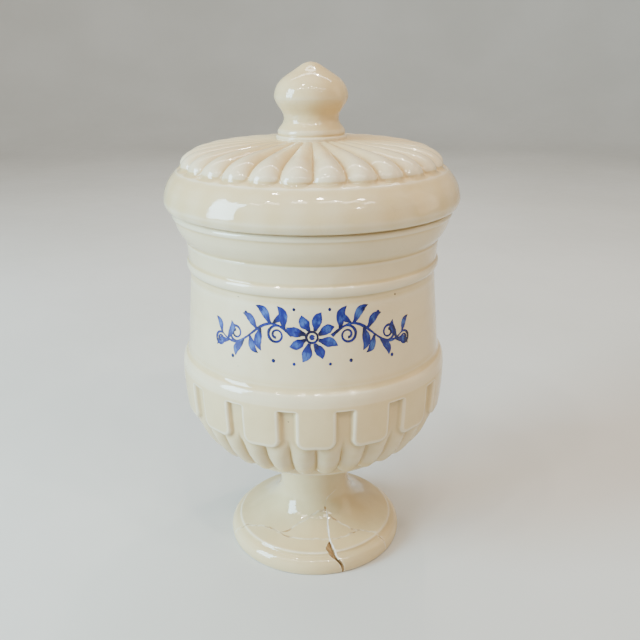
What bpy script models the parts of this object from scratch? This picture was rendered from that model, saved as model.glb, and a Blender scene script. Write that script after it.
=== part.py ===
"""Footed apothecary jar with a lift-off lid, in cream glazed earthenware.

Units are metres and +Z is up. The origin is the middle of the foot's base, and -Y is the front.
Outlines are written in millimetres as (radius, height) and turned about +Z.
"""
import math

import bmesh
import bpy

MM = 0.001
SEAM_GAP = 0.3                 # between pieces that are luted, glued or resting on each other

# Levels of the jar, from the ground up
STEM_TOP_Z = 57.2
BOWL_FLOOR_Z = 63.0
TAB_BOTTOM_Z = 90.4
SLOT_TOP_Z = 111.7
RIM_Z = 198.5
CROWN_Z = 232.8
KNOB_TOP_Z = 270.0

# Round sizes
FOOT_R = 50.6
STEM_R = 20.0
LUTE_R = 24.0                  # where the stem spreads under the bowl
LID_R = 77.0
MOUTH_R = 67.5
FLANGE_R = 64.0
KNOB_R = 18.8
KNOB_BASE_R = 18.2

# Repeats round the jar
TAB_COUNT = 16
GADROONS_PER_TAB = 2
PETAL_COUNT = 27
FIRST_SLOT_DEG = -9.94         # azimuth of a slot, from the front towards +X
FIRST_GROOVE_DEG = 1.1         # azimuth of a groove between two petals

# Relief
TAB_DROP = 1.2                 # from a tab's face down to the crests of the gadroons
GADROON_GROOVE = 1.3
PETAL_GROOVE = 1.8
SLOT_HALF_SHARE = 0.165        # half of a slot's width, as a share of the pitch between slots
SLOT_WALL_SHARE = 0.05         # the slope at a slot's side, as a share of the same pitch
GADROON_TIP_Z = 65.0
PETAL_START_R = 20.0
PETAL_TIP_R = 69.2

GLAZE = (0.80, 0.74, 0.62)
GLAZE_ROUGHNESS = 0.18
BISQUE = (0.72, 0.63, 0.48)


def curve(points, steps=3):
    """A smooth line through the points (Catmull-Rom), with some steps in each span."""
    padded = [points[0]] + list(points) + [points[-1]]
    line = []
    for i in range(1, len(padded) - 2):
        before, start, end, after = padded[i - 1:i + 3]
        for k in range(steps):
            t = k / steps
            line.append(tuple(
                0.5 * (2 * s + (e - b) * t + (2 * b - 5 * s + 4 * e - a) * t * t
                       + (3 * s - b - 3 * e + a) * t ** 3)
                for b, s, e, a in zip(before, start, end, after)))
    line.append(points[-1])
    return line


def outward_normals(outline):
    """Unit normals, away from the solid, of an outline that keeps the solid on its right."""
    normals = []
    for i in range(len(outline)):
        r0, z0 = outline[max(i - 1, 0)]
        r1, z1 = outline[min(i + 1, len(outline) - 1)]
        length = math.hypot(r1 - r0, z1 - z0)
        normals.append((-(z1 - z0) / length, (r1 - r0) / length))
    return normals


def even_columns(count, first_deg=0.0):
    """Azimuths of evenly spaced columns, in degrees."""
    return [first_deg + 360.0 * k / count for k in range(count)]


def pitch_columns(repeats, shares, first_deg):
    """Azimuths of the columns, in degrees, with the same shares of every pitch."""
    pitch = 360.0 / repeats
    return [first_deg + pitch * (k + share) for k in range(repeats) for share in shares]


def turned_body(name, outline, columns, relief=None):
    """Turn an outline that starts and ends on the axis, with the solid on its right, into a body.

    relief(azimuth in degrees, radius, height, normal) moves a point along its normal.
    """
    normals = outward_normals(outline)
    mesh = bmesh.new()
    rings = []
    for (radius, height), (normal_r, normal_z) in zip(outline, normals):
        if radius == 0.0:
            rings.append([mesh.verts.new((0.0, 0.0, height * MM))])
            continue
        ring = []
        for azimuth in columns:
            lift = relief(azimuth, radius, height, (normal_r, normal_z)) if relief else 0.0
            r = (radius + lift * normal_r) * MM
            z = (height + lift * normal_z) * MM
            angle = math.radians(azimuth)
            ring.append(mesh.verts.new((r * math.sin(angle), -r * math.cos(angle), z)))
        rings.append(ring)
    for lower, upper in zip(rings, rings[1:]):
        join_rings(mesh, lower, upper)
    bmesh.ops.recalc_face_normals(mesh, faces=mesh.faces)
    data = bpy.data.meshes.new(name)
    mesh.to_mesh(data)
    mesh.free()
    data.shade_smooth()
    data.set_sharp_from_angle(angle=math.radians(50))
    body = bpy.data.objects.new(name, data)
    bpy.context.scene.collection.objects.link(body)
    return body


def join_rings(mesh, lower, upper):
    """Faces between two neighbouring rings, either of which may be a single point."""
    count = max(len(lower), len(upper))
    for k in range(count):
        following = (k + 1) % count
        corners = []
        for vert in (lower[k % len(lower)], lower[following % len(lower)],
                     upper[following % len(upper)], upper[k % len(upper)]):
            if vert not in corners:
                corners.append(vert)
        mesh.faces.new(corners)


def give_material(body, name, colour, roughness):
    material = bpy.data.materials.new(name)
    material.use_nodes = True
    shader = material.node_tree.nodes["Principled BSDF"]
    shader.inputs["Base Color"].default_value = (*colour, 1.0)
    shader.inputs["Roughness"].default_value = roughness
    shader.inputs["Metallic"].default_value = 0.0
    body.data.materials.append(material)


def lobe(position):
    """Height of a rounded lobe, 0 at its two grooves and 1 on its crest; position runs 0 to 1."""
    across = 2.0 * (position % 1.0) - 1.0
    return 1.0 - abs(across) ** 2.2


def ramp(value, start, end):
    """0 before start, 1 past end, straight in between."""
    return min(max((value - start) / (end - start), 0.0), 1.0)


# ---------------------------------------------------------------- the bowl

def bowl_relief(azimuth, radius, height, normal):
    """Tabs, the slots between them and the gadroons, cut into the bowl's outer side."""
    outer_side = normal[0] > 0.0 or normal[1] < 0.0
    if not outer_side or height > SLOT_TOP_Z or height < STEM_TOP_Z + 2 * SEAM_GAP:
        return 0.0
    share = ((azimuth - FIRST_SLOT_DEG) * TAB_COUNT / 360.0) % 1.0
    from_slot = min(share, 1.0 - share)
    in_slot = from_slot < SLOT_HALF_SHARE
    if height > TAB_BOTTOM_Z and not in_slot:
        return 0.0
    tip_fade = ramp(height, GADROON_TIP_Z - 3.0, GADROON_TIP_Z + 3.0)
    crest = lobe(share * GADROONS_PER_TAB) * tip_fade
    return -TAB_DROP - GADROON_GROOVE * (1.0 - crest)


def make_bowl():
    inner_side = [(0.0, BOWL_FLOOR_Z)]
    inner_side += [(26.0, BOWL_FLOOR_Z), (46.0, 69.0), (60.0, 84.0), (66.0, 106.0)]
    inner_side += [(64.2, 122.0), (61.2, 165.0), (61.6, 181.0), (MOUTH_R, RIM_Z - 2.0)]
    rim = [(MOUTH_R + 2.0, RIM_Z), (72.0, RIM_Z), (73.6, RIM_Z - 2.0)]
    collar = [(72.3, 193.6), (70.4, 188.4), (66.7, 183.2)]
    band = [(66.9, 182.6), (66.3, 173.4)]
    bead = [(66.9, 172.3), (67.3, 170.2), (66.7, 168.2), (65.5, 167.2)]
    wall = [(67.0, 148.0), (69.2, 122.6)]
    shoulder = [(70.9, 120.4), (72.3, 116.8), (72.75, SLOT_TOP_Z + 0.5)]
    tabs = [(72.8, SLOT_TOP_Z - 0.9), (72.3, 99.0), (71.5, TAB_BOTTOM_Z + 0.6)]
    gadroons = [(71.2, TAB_BOTTOM_Z - 0.9), (67.2, 80.4), (61.6, 71.2), (56.6, 66.2), (53.0, 64.0)]
    underside = [(44.0, 60.2), (32.0, 58.2), (LUTE_R + 0.5, STEM_TOP_Z + SEAM_GAP),
                 (0.0, STEM_TOP_Z + SEAM_GAP)]
    outline = inner_side + rim + collar + band + bead + wall + shoulder + tabs + gadroons + underside
    inside_edge = SLOT_HALF_SHARE - SLOT_WALL_SHARE / 2
    outside_edge = SLOT_HALF_SHARE + SLOT_WALL_SHARE / 2
    shares = (0.0, inside_edge, outside_edge, 0.5, 1.0 - outside_edge, 1.0 - inside_edge)
    columns = pitch_columns(TAB_COUNT, shares, FIRST_SLOT_DEG)
    bowl = turned_body("jar_bowl", outline, columns, bowl_relief)
    give_material(bowl, "bowl_glaze", GLAZE, GLAZE_ROUGHNESS)


# ---------------------------------------------------------------- the lid

def lid_relief(azimuth, radius, height, normal):
    """Grooves between the petals of the crown, deepest at the petals' round tips."""
    if normal[1] <= 0.0 or height < RIM_Z or radius < PETAL_START_R or radius > PETAL_TIP_R:
        return 0.0
    share = (azimuth - FIRST_GROOVE_DEG) * PETAL_COUNT / 360.0
    depth = PETAL_GROOVE * (0.35 + 0.65 * ramp(radius, PETAL_START_R, 45.0))
    return -depth * (1.0 - lobe(share))


def make_lid_shell():
    seat_z = RIM_Z + SEAM_GAP
    crown = [(0.0, CROWN_Z), (PETAL_START_R - 1.2, CROWN_Z), (PETAL_START_R, 232.6), (32.0, 231.9),
             (46.0, 230.6), (59.0, 228.5), (64.6, 226.0), (68.4, 222.6), (PETAL_TIP_R - 0.1, 219.8)]
    roll = [(PETAL_TIP_R + 0.2, 218.8), (71.0, 217.0)]
    roll += [(73.6, 213.6), (76.2, 208.8), (LID_R, 204.4), (76.8, 201.8)]
    roll += [(75.8, 200.0), (73.6, seat_z)]
    flange = [(FLANGE_R + 0.8, seat_z), (FLANGE_R, seat_z - 8.4), (FLANGE_R - 1.0, seat_z - 9.4),
              (59.8, seat_z - 9.4)]
    underside = [(59.4, 200.0), (62.0, 209.0), (59.0, 217.0), (46.0, 224.0), (0.0, 227.2)]
    columns = pitch_columns(PETAL_COUNT, (0.0, 0.33, 0.67), FIRST_GROOVE_DEG)
    lid = turned_body("lid_shell", crown + roll + flange + underside, columns, lid_relief)
    give_material(lid, "lid_glaze", GLAZE, GLAZE_ROUGHNESS)
    return lid


def make_lid_knob(lid):
    """The pointed knob, with its waisted neck, ring and base disc, luted on the crown."""
    base_z = CROWN_Z + SEAM_GAP
    point = [(0.0, KNOB_TOP_Z), (2.2, KNOB_TOP_Z - 0.5)]
    bulb = [(11.8, 264.0), (16.2, 260.2), (18.4, 256.6), (KNOB_R, 253.8), (17.3, 249.6),
            (14.8, 245.7), (14.0, 242.7)]
    ring = [(15.2, 239.7), (17.1, 237.0), (17.0, 235.0)]
    disc = [(17.9, 234.6), (KNOB_BASE_R, 233.9), (17.9, base_z), (0.0, base_z)]
    knob = turned_body("lid_knob", point + bulb + ring + disc, even_columns(32))
    knob.parent = lid
    give_material(knob, "knob_glaze", GLAZE, GLAZE_ROUGHNESS)


# ---------------------------------------------------------------- the foot and its mended breaks

# The breaks in the foot, seen from above, as (azimuth in degrees, radius). They run right through.
CRACK_TOP = (15.8, 22.9)
CRACK_MEETING = (12.8, 37.0)
MAIN_CRACK_INNER = [CRACK_TOP, (15.8, 27.2), CRACK_MEETING]
MAIN_CRACK_OUTER = [CRACK_MEETING, (14.2, 44.2), (16.3, 49.2), (20.5, 53.0)]
LEFT_ARC = [(-72.0, 53.0), (-66.0, 45.0), (-59.0, 40.2), (-51.0, 37.3), (-35.0, 36.2),
            (-26.0, 36.8), (-8.6, 36.6), (4.8, 36.2), CRACK_MEETING]
RIGHT_ARC = [CRACK_MEETING, (22.6, 37.7), (35.0, 37.2), (44.7, 38.1), (52.7, 44.7), (54.0, 53.0)]
UPPER_LEFT_ARC = [(-35.0, 36.2), (-28.2, 34.2), (-21.8, 30.5), (-12.1, 26.5), (4.7, 23.8), CRACK_TOP]
UPPER_RIGHT_ARC = [CRACK_TOP, (19.0, 25.7), (30.4, 30.2), (38.7, 35.4), (44.7, 38.1)]
CLEAR_OF_BRIM_R = 56.0


def beyond_brim(start_deg, end_deg, steps=6):
    """Points outside the brim, from one azimuth to another."""
    return [(start_deg + (end_deg - start_deg) * k / steps, CLEAR_OF_BRIM_R) for k in range(steps + 1)]


BREAKS = {
    "outer_left": MAIN_CRACK_OUTER + beyond_brim(20.5, -72.0) + LEFT_ARC[:-1],
    "outer_right": list(reversed(MAIN_CRACK_OUTER[1:])) + RIGHT_ARC + beyond_brim(54.0, 20.5),
    "inner_left": MAIN_CRACK_INNER + list(reversed(LEFT_ARC[4:-1])) + UPPER_LEFT_ARC[1:-1],
    "inner_right": list(reversed(MAIN_CRACK_INNER)) + UPPER_RIGHT_ARC[1:] + list(reversed(RIGHT_ARC[1:3])),
}


def flat_points(polar_points):
    """(azimuth, radius) to (x, y), anticlockwise."""
    points = [(radius * math.sin(math.radians(azimuth)), -radius * math.cos(math.radians(azimuth)))
              for azimuth, radius in polar_points]
    area = sum(x0 * y1 - x1 * y0 for (x0, y0), (x1, y1) in zip(points, points[1:] + points[:1]))
    return points if area > 0.0 else list(reversed(points))


def grown_outline(points, distance):
    """Move each side of an anticlockwise outline outwards by a distance."""
    grown = []
    for i in range(len(points)):
        (x0, y0), (x1, y1), (x2, y2) = points[i - 1], points[i], points[(i + 1) % len(points)]
        first = math.hypot(x1 - x0, y1 - y0)
        second = math.hypot(x2 - x1, y2 - y1)
        n0 = ((y1 - y0) / first, -(x1 - x0) / first)
        n1 = ((y2 - y1) / second, -(x2 - x1) / second)
        reach = distance / max(1.0 + n0[0] * n1[0] + n0[1] * n1[1], 0.35)
        grown.append((x1 + (n0[0] + n1[0]) * reach, y1 + (n0[1] + n1[1]) * reach))
    return grown


def upright_cutter(name, points, low_z, high_z):
    """A prism over a flat outline, kept as a guide that is not part of the jar."""
    mesh = bmesh.new()
    bottom = [mesh.verts.new((x * MM, y * MM, low_z * MM)) for x, y in points]
    face = mesh.faces.new(bottom)
    top = bmesh.ops.extrude_face_region(mesh, geom=[face])["geom"]
    rise = [vert for vert in top if isinstance(vert, bmesh.types.BMVert)]
    bmesh.ops.translate(mesh, verts=rise, vec=(0.0, 0.0, (high_z - low_z) * MM))
    bmesh.ops.recalc_face_normals(mesh, faces=mesh.faces)
    data = bpy.data.meshes.new(name)
    mesh.to_mesh(data)
    mesh.free()
    cutter = bpy.data.objects.new(name, data)
    cutter.hide_render = True
    cutter.display_type = "WIRE"
    bpy.context.scene.collection.objects.link(cutter)
    return cutter


def cut_with(body, cutter, operation):
    boolean = body.modifiers.new(cutter.name, "BOOLEAN")
    boolean.operation = operation
    boolean.object = cutter


def turned_foot(name):
    """The whole stem and foot: flat on the ground, hollow underneath."""
    stem = [(0.0, STEM_TOP_Z), (LUTE_R, STEM_TOP_Z), (LUTE_R, STEM_TOP_Z - 0.8)]
    stem += [(21.6, 54.6), (20.3, 50.0), (STEM_R, 42.0), (STEM_R + 0.1, 33.0)]
    stem += curve([(21.2, 27.5), (26.0, 20.4), (33.0, 15.0), (44.6, 11.4)], 2)
    brim = [(45.6, 10.6), (46.0, 9.6), (47.3, 8.9), (49.3, 7.0), (50.5, 4.4), (FOOT_R, 2.0), (50.0, 0.0)]
    hollow = [(43.5, 0.0), (38.0, 6.0), (26.0, 11.0), (17.0, 19.0), (13.5, 32.0), (12.5, 46.0),
              (0.0, 51.5)]
    return turned_body(name, stem + brim + hollow, even_columns(56))


def make_foot():
    foot = turned_foot("pedestal_foot")
    give_material(foot, "foot_glaze", GLAZE, GLAZE_ROUGHNESS)
    for place, polar_points in BREAKS.items():
        points = flat_points(polar_points)
        cut_with(foot, upright_cutter("break_" + place, grown_outline(points, SEAM_GAP / 2), -5.0, 40.0),
                 "DIFFERENCE")
        shard = turned_foot("foot_shard_" + place)
        cut_with(shard, upright_cutter("shard_" + place, grown_outline(points, -SEAM_GAP / 2), -5.0, 40.0),
                 "INTERSECT")
        give_material(shard, "shard_glaze_" + place, BISQUE, GLAZE_ROUGHNESS)


def main():
    for old in list(bpy.data.objects):
        bpy.data.objects.remove(old)
    make_foot()
    make_bowl()
    make_lid_knob(make_lid_shell())


main()
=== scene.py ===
"""Looks of the footed apothecary jar: glazed surfaces, mended foot, painted garland and studio.

Shapes are worked out in millimetres as (radius, height) outlines turned about +Z, -Y is the front.
"""
import math

import bmesh
import bpy
import mathutils
import numpy as np
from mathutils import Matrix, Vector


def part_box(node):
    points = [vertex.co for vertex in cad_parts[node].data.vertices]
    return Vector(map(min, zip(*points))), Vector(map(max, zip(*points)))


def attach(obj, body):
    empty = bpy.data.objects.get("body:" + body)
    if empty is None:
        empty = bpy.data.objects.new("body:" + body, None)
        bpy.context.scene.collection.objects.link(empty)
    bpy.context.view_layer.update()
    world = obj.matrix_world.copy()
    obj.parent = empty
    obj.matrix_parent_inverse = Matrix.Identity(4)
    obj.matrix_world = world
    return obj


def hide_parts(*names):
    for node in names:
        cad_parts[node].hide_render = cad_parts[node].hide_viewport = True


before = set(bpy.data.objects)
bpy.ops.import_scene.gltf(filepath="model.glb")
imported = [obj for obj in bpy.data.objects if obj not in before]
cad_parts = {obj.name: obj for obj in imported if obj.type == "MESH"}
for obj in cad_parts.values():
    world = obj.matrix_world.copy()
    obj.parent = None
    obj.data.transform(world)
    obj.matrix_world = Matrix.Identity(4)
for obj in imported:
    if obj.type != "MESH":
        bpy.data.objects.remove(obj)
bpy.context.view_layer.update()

MM = 0.001
rng = np.random.default_rng(27)

# Levels and sizes that come from the frame
RIM_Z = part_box("jar_bowl")[1].z / MM
BOWL_BOTTOM_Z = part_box("jar_bowl")[0].z / MM
FOOT_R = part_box("pedestal_foot")[1].x / MM
LID_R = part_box("lid_shell")[1].x / MM
CROWN_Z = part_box("lid_shell")[1].z / MM
KNOB_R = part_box("lid_knob")[1].x / MM
KNOB_TOP_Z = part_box("lid_knob")[1].z / MM
SEAM_GAP = 0.3
SEAT_Z = RIM_Z + SEAM_GAP

# Repeats round the jar
TAB_COUNT = 16
GADROONS_PER_TAB = 2
PETAL_COUNT = 27
FIRST_SLOT_DEG = -9.94
FIRST_GROOVE_DEG = 1.1

# Relief of the bowl
TAB_FACE_R = 72.7
SLOT_TOP_Z = 111.7
TAB_BOTTOM_Z = 90.4
TAB_DROP = 1.5                 # from a tab's face down to the crest of a gadroon
TAB_HALF_SHARE = 0.355         # half of a tab's width, as a share of the pitch
TAB_CORNER = 5.0
EDGE_SOFTNESS = 0.95           # half of the width of a tab's sloping edge
SLOT_EXTRA = 0.9               # the floor of a slot lies this far below the crests of the gadroons
GADROON_HEIGHT = 2.8
GADROON_TAPER_Z = 69.2         # below this height a gadroon rounds off towards its tip
GADROON_TAPER = 5.2            # height over which it does
GADROON_FADE_Z = (97.0, 84.0)  # between these heights the gadroons grow to their full depth
UNDERSIDE_FADE_R = (47.0, 54.0)
FULL_RECESS = 3.6              # the depth below the relief's face that counts as fully recessed

# Relief of the lid
PETAL_HEIGHT = 3.2
PETAL_START_R = 18.0
PETAL_END_Z = 218.9
PETAL_TAPER = 7.0              # height over which a petal rounds off at its end
PETAL_TAPER_R = (58.0, 64.0)


# ---------------------------------------------------------------- outlines

def curve(points, steps=8):
    """A smooth line through the points (Catmull-Rom)."""
    points = np.array(points, float)
    padded = np.vstack([2 * points[0] - points[1], points, 2 * points[-1] - points[-2]])
    t = np.linspace(0.0, 1.0, steps, endpoint=False)[:, None]
    spans = []
    for before, start, end, after in zip(padded, padded[1:], padded[2:], padded[3:]):
        spans.append(0.5 * (2 * start + (end - before) * t
                            + (2 * before - 5 * start + 4 * end - after) * t ** 2
                            + (3 * start - before - 3 * end + after) * t ** 3))
    return np.vstack(spans + [points[-1:]])


def resampled(line, spacing):
    """The same line with points at about an even spacing."""
    line = np.array(line, float)
    lengths = np.hypot(*np.diff(line, axis=0).T)
    keep = np.append(True, lengths > 1e-6)
    line = line[keep]
    along = np.append(0.0, np.cumsum(np.hypot(*np.diff(line, axis=0).T)))
    count = max(int(round(along[-1] / spacing)), 1) + 1
    marks = np.linspace(0.0, along[-1], count)
    return np.stack([np.interp(marks, along, line[:, k]) for k in range(line.shape[1])], axis=1)


def softened(line, radius, spacing=0.1):
    """An outline whose corners are rounded as glaze rounds them; its two ends stay."""
    fine = resampled(line, spacing)
    reach = int(3 * radius / spacing)
    weights = np.exp(-0.5 * (np.arange(-reach, reach + 1) * spacing / radius) ** 2)
    weights /= weights.sum()
    before = 2 * fine[0] - fine[reach:0:-1]
    after = 2 * fine[-1] - fine[-2:-reach - 2:-1]
    padded = np.vstack([before, fine, after])
    return np.stack([np.convolve(padded[:, k], weights, "valid") for k in range(2)], axis=1)


def left_normals(line):
    """Unit normals on the left of a line; that is outwards where the solid is on its right."""
    tangent = np.gradient(line, axis=0)
    normal = np.stack([-tangent[:, 1], tangent[:, 0]], axis=1)
    return normal / np.linalg.norm(normal, axis=1)[:, None]


def around(radius, azimuth, height):
    """Points at an azimuth in radians, 0 at the front and positive to the viewer's right."""
    return np.stack([radius * np.sin(azimuth), -radius * np.cos(azimuth), height], axis=-1)


def smoothstep(value, start, end):
    t = np.clip((value - start) / (end - start), 0.0, 1.0)
    return t * t * (3.0 - 2.0 * t)


# ---------------------------------------------------------------- turned bodies

class Turned:
    """A body turned from zones of an outline, each with its own number of columns."""

    def __init__(self, columns):
        self.columns = np.radians(columns)
        self.rings = []
        self.recess = []

    def add_zone(self, line, skip=1, relief=None):
        """Rings for one stretch of outline; skip keeps one column in so many."""
        line = np.array(line, float)
        normals = left_normals(line)
        azimuth = self.columns[::skip]
        radius = np.repeat(line[:, :1], len(azimuth), axis=1)
        height = np.repeat(line[:, 1:], len(azimuth), axis=1)
        lift = np.zeros_like(radius)
        if relief is not None:
            lift = relief(np.degrees(azimuth)[None, :], radius, height)
            radius = radius + lift * normals[:, :1]
            height = height + lift * normals[:, 1:]
        points = around(radius, azimuth, height)
        for row, depth, (r, z) in zip(points, -lift, line):
            self.rings.append(row if r > 1e-6 else np.array([[0.0, 0.0, z]]))
            self.recess.append(depth if r > 1e-6 else depth[:1])

    def build(self, name):
        """One closed mesh from all the rings, facing out."""
        starts = np.append(0, np.cumsum([len(ring) for ring in self.rings]))
        quads = []
        others = []
        for i in range(len(self.rings) - 1):
            upper, lower = self.rings[i], self.rings[i + 1]
            a, b = starts[i], starts[i + 1]
            if len(upper) == len(lower):
                k = np.arange(len(upper))
                following = (k + 1) % len(upper)
                quads.append(np.stack([a + k, b + k, b + following, a + following], axis=1))
            else:
                others.extend(fan_faces(a, len(upper), b, len(lower)))
        body = mesh_object(name, np.vstack(self.rings) * MM, np.vstack(quads), others)
        add_attribute(body, "recess", np.clip(np.concatenate(self.recess) / FULL_RECESS, 0.0, 1.0))
        return body


def fan_faces(upper, upper_count, lower, lower_count):
    """Faces between two rings of different counts, the larger a multiple of the smaller."""
    if lower_count == 1:
        return [[upper + k, lower, upper + (k + 1) % upper_count] for k in range(upper_count)]
    if upper_count == 1:
        return [[upper, lower + k, lower + (k + 1) % lower_count] for k in range(lower_count)]
    coarse = min(upper_count, lower_count)
    faces = []
    for k in range(coarse):
        sides = []
        for start, count in ((upper, upper_count), (lower, lower_count)):
            ratio = count // coarse
            sides.append([start + (k * ratio + j) % count for j in range(ratio + 1)])
        faces.append(sides[0][::-1] + sides[1])
    return faces


def warped_columns(repeats, per_repeat, first_deg, bunch=0.0):
    """Azimuths in degrees, bunched towards the grooves of each repeat if asked."""
    share = np.arange(per_repeat) / per_repeat
    share = share - bunch * np.sin(2 * np.pi * share) / (2 * np.pi)
    pitch = 360.0 / repeats
    return (first_deg + pitch * (np.arange(repeats)[:, None] + share[None, :])).ravel()


def mesh_object(name, verts, quads, others=()):
    """A mesh object from arrays, smooth shaded and in the scene."""
    data = bpy.data.meshes.new(name)
    faces = [tuple(face) for face in quads.tolist()] + [tuple(int(i) for i in face) for face in others]
    data.from_pydata(verts.tolist(), [], faces)
    data.validate()
    data.shade_smooth()
    body = bpy.data.objects.new(name, data)
    bpy.context.scene.collection.objects.link(body)
    return body


def add_attribute(body, name, values):
    layer = body.data.attributes.new(name, "FLOAT", "POINT")
    layer.data.foreach_set("value", np.asarray(values, np.float32))


def vertex_array(body):
    flat = np.empty(len(body.data.vertices) * 3, np.float32)
    body.data.vertices.foreach_get("co", flat)
    return flat.reshape(-1, 3).astype(float)


def measure_hollowness(body, reach=6):
    """How far each point lies in a hollow of the surface: 0.5 where it is even, more in hollows, less on
    crests; the glaze paints shade in hollows and a highlight on crests from it.
    """
    data = body.data
    points = vertex_array(body)
    flat = np.empty(len(points) * 3, np.float32)
    data.vertices.foreach_get("normal", flat)
    normals = flat.reshape(-1, 3).astype(float)
    edges = np.empty(len(data.edges) * 2, np.int32)
    data.edges.foreach_get("vertices", edges)
    edges = edges.reshape(-1, 2)
    degree = np.bincount(edges.ravel(), minlength=len(points))[:, None]
    smooth = points.copy()
    for _ in range(reach):
        total = np.zeros_like(smooth)
        for axis in range(3):
            total[:, axis] += np.bincount(edges[:, 0], smooth[edges[:, 1], axis], len(points))
            total[:, axis] += np.bincount(edges[:, 1], smooth[edges[:, 0], axis], len(points))
        smooth = 0.5 * smooth + 0.5 * total / degree
    depth = ((smooth - points) * normals).sum(axis=1) / MM
    add_attribute(body, "hollowness", np.clip(0.5 + depth * 4.0, 0.0, 1.0))


# ---------------------------------------------------------------- the bowl

def lobe_height(across, taper):
    """Cross-section of a rounded lobe: across is -1 to 1 between its grooves, taper 0 to 1 at its tip."""
    inside = np.clip(1.0 - np.abs(across) ** 2.0 - taper ** 2.4, 0.0, 1.0)
    return inside ** 0.85


def bowl_relief(azimuth, radius, height):
    """Relief below the face of the tabs: slots, tab edges and gadroons."""
    share = ((azimuth - FIRST_SLOT_DEG) * TAB_COUNT / 360.0) % 1.0
    pitch = 2.0 * math.pi * radius / TAB_COUNT
    from_centre = np.abs(share - 0.5) * pitch
    half_width = TAB_HALF_SHARE * pitch
    side = from_centre - (half_width - TAB_CORNER)
    foot = (TAB_BOTTOM_Z + TAB_CORNER) - height
    corner = np.hypot(np.maximum(side, 0.0), np.maximum(foot, 0.0))
    outside_tab = np.where(foot > 0.0, corner, np.maximum(side, 0.0)) - TAB_CORNER
    depth = smoothstep(outside_tab, -EDGE_SOFTNESS, EDGE_SOFTNESS)
    depth = depth * smoothstep(SLOT_TOP_Z - height, -0.35, 0.45)
    across = 2.0 * ((share * GADROONS_PER_TAB) % 1.0) - 1.0
    taper = np.clip((GADROON_TAPER_Z - height) / GADROON_TAPER, 0.0, 1.0)
    low = smoothstep(height, *GADROON_FADE_Z)
    lobes = lobe_height(across, taper)
    gadroon = SLOT_EXTRA * (1.0 - low) + GADROON_HEIGHT * low * (1.0 - lobes)
    return -depth * (TAB_DROP + gadroon) * smoothstep(radius, *UNDERSIDE_FADE_R)


def bowl_wall_radius(height):
    """Radius of the plain wall at a height between the bead and the shoulder."""
    return np.interp(height, [122.6, 148.0, 167.2], [69.2, 67.0, 65.5])


def make_bowl():
    inner_side = softened(np.vstack([
        [(0.0, 63.0), (26.0, 63.0)],
        curve([(26.0, 63.0), (46.0, 69.0), (60.0, 84.0), (66.0, 106.0), (64.2, 122.0), (61.2, 165.0),
               (61.6, 181.0)]),
        [(67.5, RIM_Z - 2.0), (69.5, RIM_Z)]]), 0.8)
    upper = softened(np.vstack([
        [(69.5, RIM_Z), (72.0, RIM_Z), (73.4, RIM_Z - 0.9), (73.6, RIM_Z - 2.6)],
        curve([(72.9, 195.2), (71.3, 190.2), (69.2, 186.2), (66.5, 182.9)]),
        [(67.0, 182.5), (66.85, 181.0), (66.2, 173.5)],
        curve([(66.2, 173.0), (67.2, 171.8), (67.3, 169.8), (66.6, 168.0), (65.5, 167.2)], 5),
        [(65.6, 165.0)]]), 0.35)
    wall = np.array([(bowl_wall_radius(z), z) for z in np.linspace(165.0, 124.5, 18)])
    shoulder = softened(np.vstack([
        [(bowl_wall_radius(124.5), 124.5), (69.3, 122.4)],
        curve([(69.9, 121.2), (71.2, 119.9), (72.2, 117.6), (TAB_FACE_R, 114.0)], 6)]), 0.45)
    belly = curve([(TAB_FACE_R, 114.0), (72.8, 108.0), (72.3, 99.0), (71.2, 90.0), (67.9, 81.0), (64.2, 74.6),
                   (59.6, 69.0), (54.4, 64.7), (50.5, 63.0), (47.0, 62.1)], 12)
    underside = softened(np.vstack([
        curve([(47.0, 62.1), (43.5, 60.5), (38.0, 59.1), (31.0, 58.2), (25.0, BOWL_BOTTOM_Z)]),
        [(0.0, BOWL_BOTTOM_Z)]]), 0.4)
    bowl = Turned(warped_columns(TAB_COUNT, 48, FIRST_SLOT_DEG))
    bowl.add_zone(resampled(inner_side, 3.0), 8)
    bowl.add_zone(resampled(upper, 0.5)[1:], 4)
    bowl.add_zone(wall[1:], 4)
    bowl.add_zone(resampled(shoulder, 0.5)[1:-1], 4)
    belly = resampled(belly, 0.2)
    stride = np.where(np.abs(belly[:, 1] - SLOT_TOP_Z) < 1.2, 2, 4)
    bowl.add_zone(belly[np.arange(len(belly)) % stride == 0], 1, bowl_relief)
    bowl.add_zone(resampled(underside, 1.2)[1:], 4, bowl_relief)
    return bowl.build("jar_bowl_glazed")


# ---------------------------------------------------------------- the lid

def lid_relief(azimuth, radius, height):
    """Grooves between the petals, cut below their crests."""
    share = ((azimuth - FIRST_GROOVE_DEG) * PETAL_COUNT / 360.0) % 1.0
    across = 2.0 * share - 1.0
    taper = np.clip((PETAL_END_Z + PETAL_TAPER - height) / PETAL_TAPER, 0.0, 1.0)
    taper = taper * smoothstep(radius, *PETAL_TAPER_R)
    spread = 0.28 + 0.72 * smoothstep(radius, PETAL_START_R, 56.0)
    end = smoothstep(height, PETAL_END_Z - 0.6, PETAL_END_Z + 2.6)
    start = smoothstep(radius, PETAL_START_R - 1.0, PETAL_START_R + 2.0)
    lobes = lobe_height(across, taper * 0.94)
    return -PETAL_HEIGHT * spread * start * end * (1.0 - lobes)


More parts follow.
